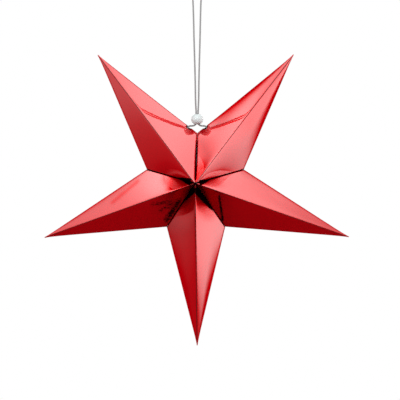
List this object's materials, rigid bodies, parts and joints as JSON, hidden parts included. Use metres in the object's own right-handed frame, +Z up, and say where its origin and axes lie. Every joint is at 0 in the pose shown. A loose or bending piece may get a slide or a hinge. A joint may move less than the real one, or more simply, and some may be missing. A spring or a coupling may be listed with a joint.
{
  "type": "folded foil card star on a cord",
  "caption": "Hanging five-pointed star of folded metallic card with deep pyramid points, tied shut by a looped cord with a sliding bead.",
  "frame": {"origin": "where a hook touches the inside of the cord's loop, straight above the star's centre", "axes": "+Z up, star in the XZ plane, front hub facing -Y, +X to the right as seen from the front"},
  "size_m": [0.3, 0.0952, 0.3478],
  "materials": {
    "foil_card": "mirror-bright red metallic foil laminate on white card",
    "clear_bead": "frosted clear acrylic, polished",
    "grey_cord": "twisted grey polyester cord"
  },
  "bodies": {
    "root": {"point_top_left": "foil_card", "point_left": "foil_card", "point_bottom": "foil_card", "point_right": "foil_card", "point_top_right": "foil_card", "bead": "clear_bead", "hanging_cord": "grey_cord", "left_knot": "grey_cord", "right_knot": "grey_cord"}
  },
  "joints": []
}
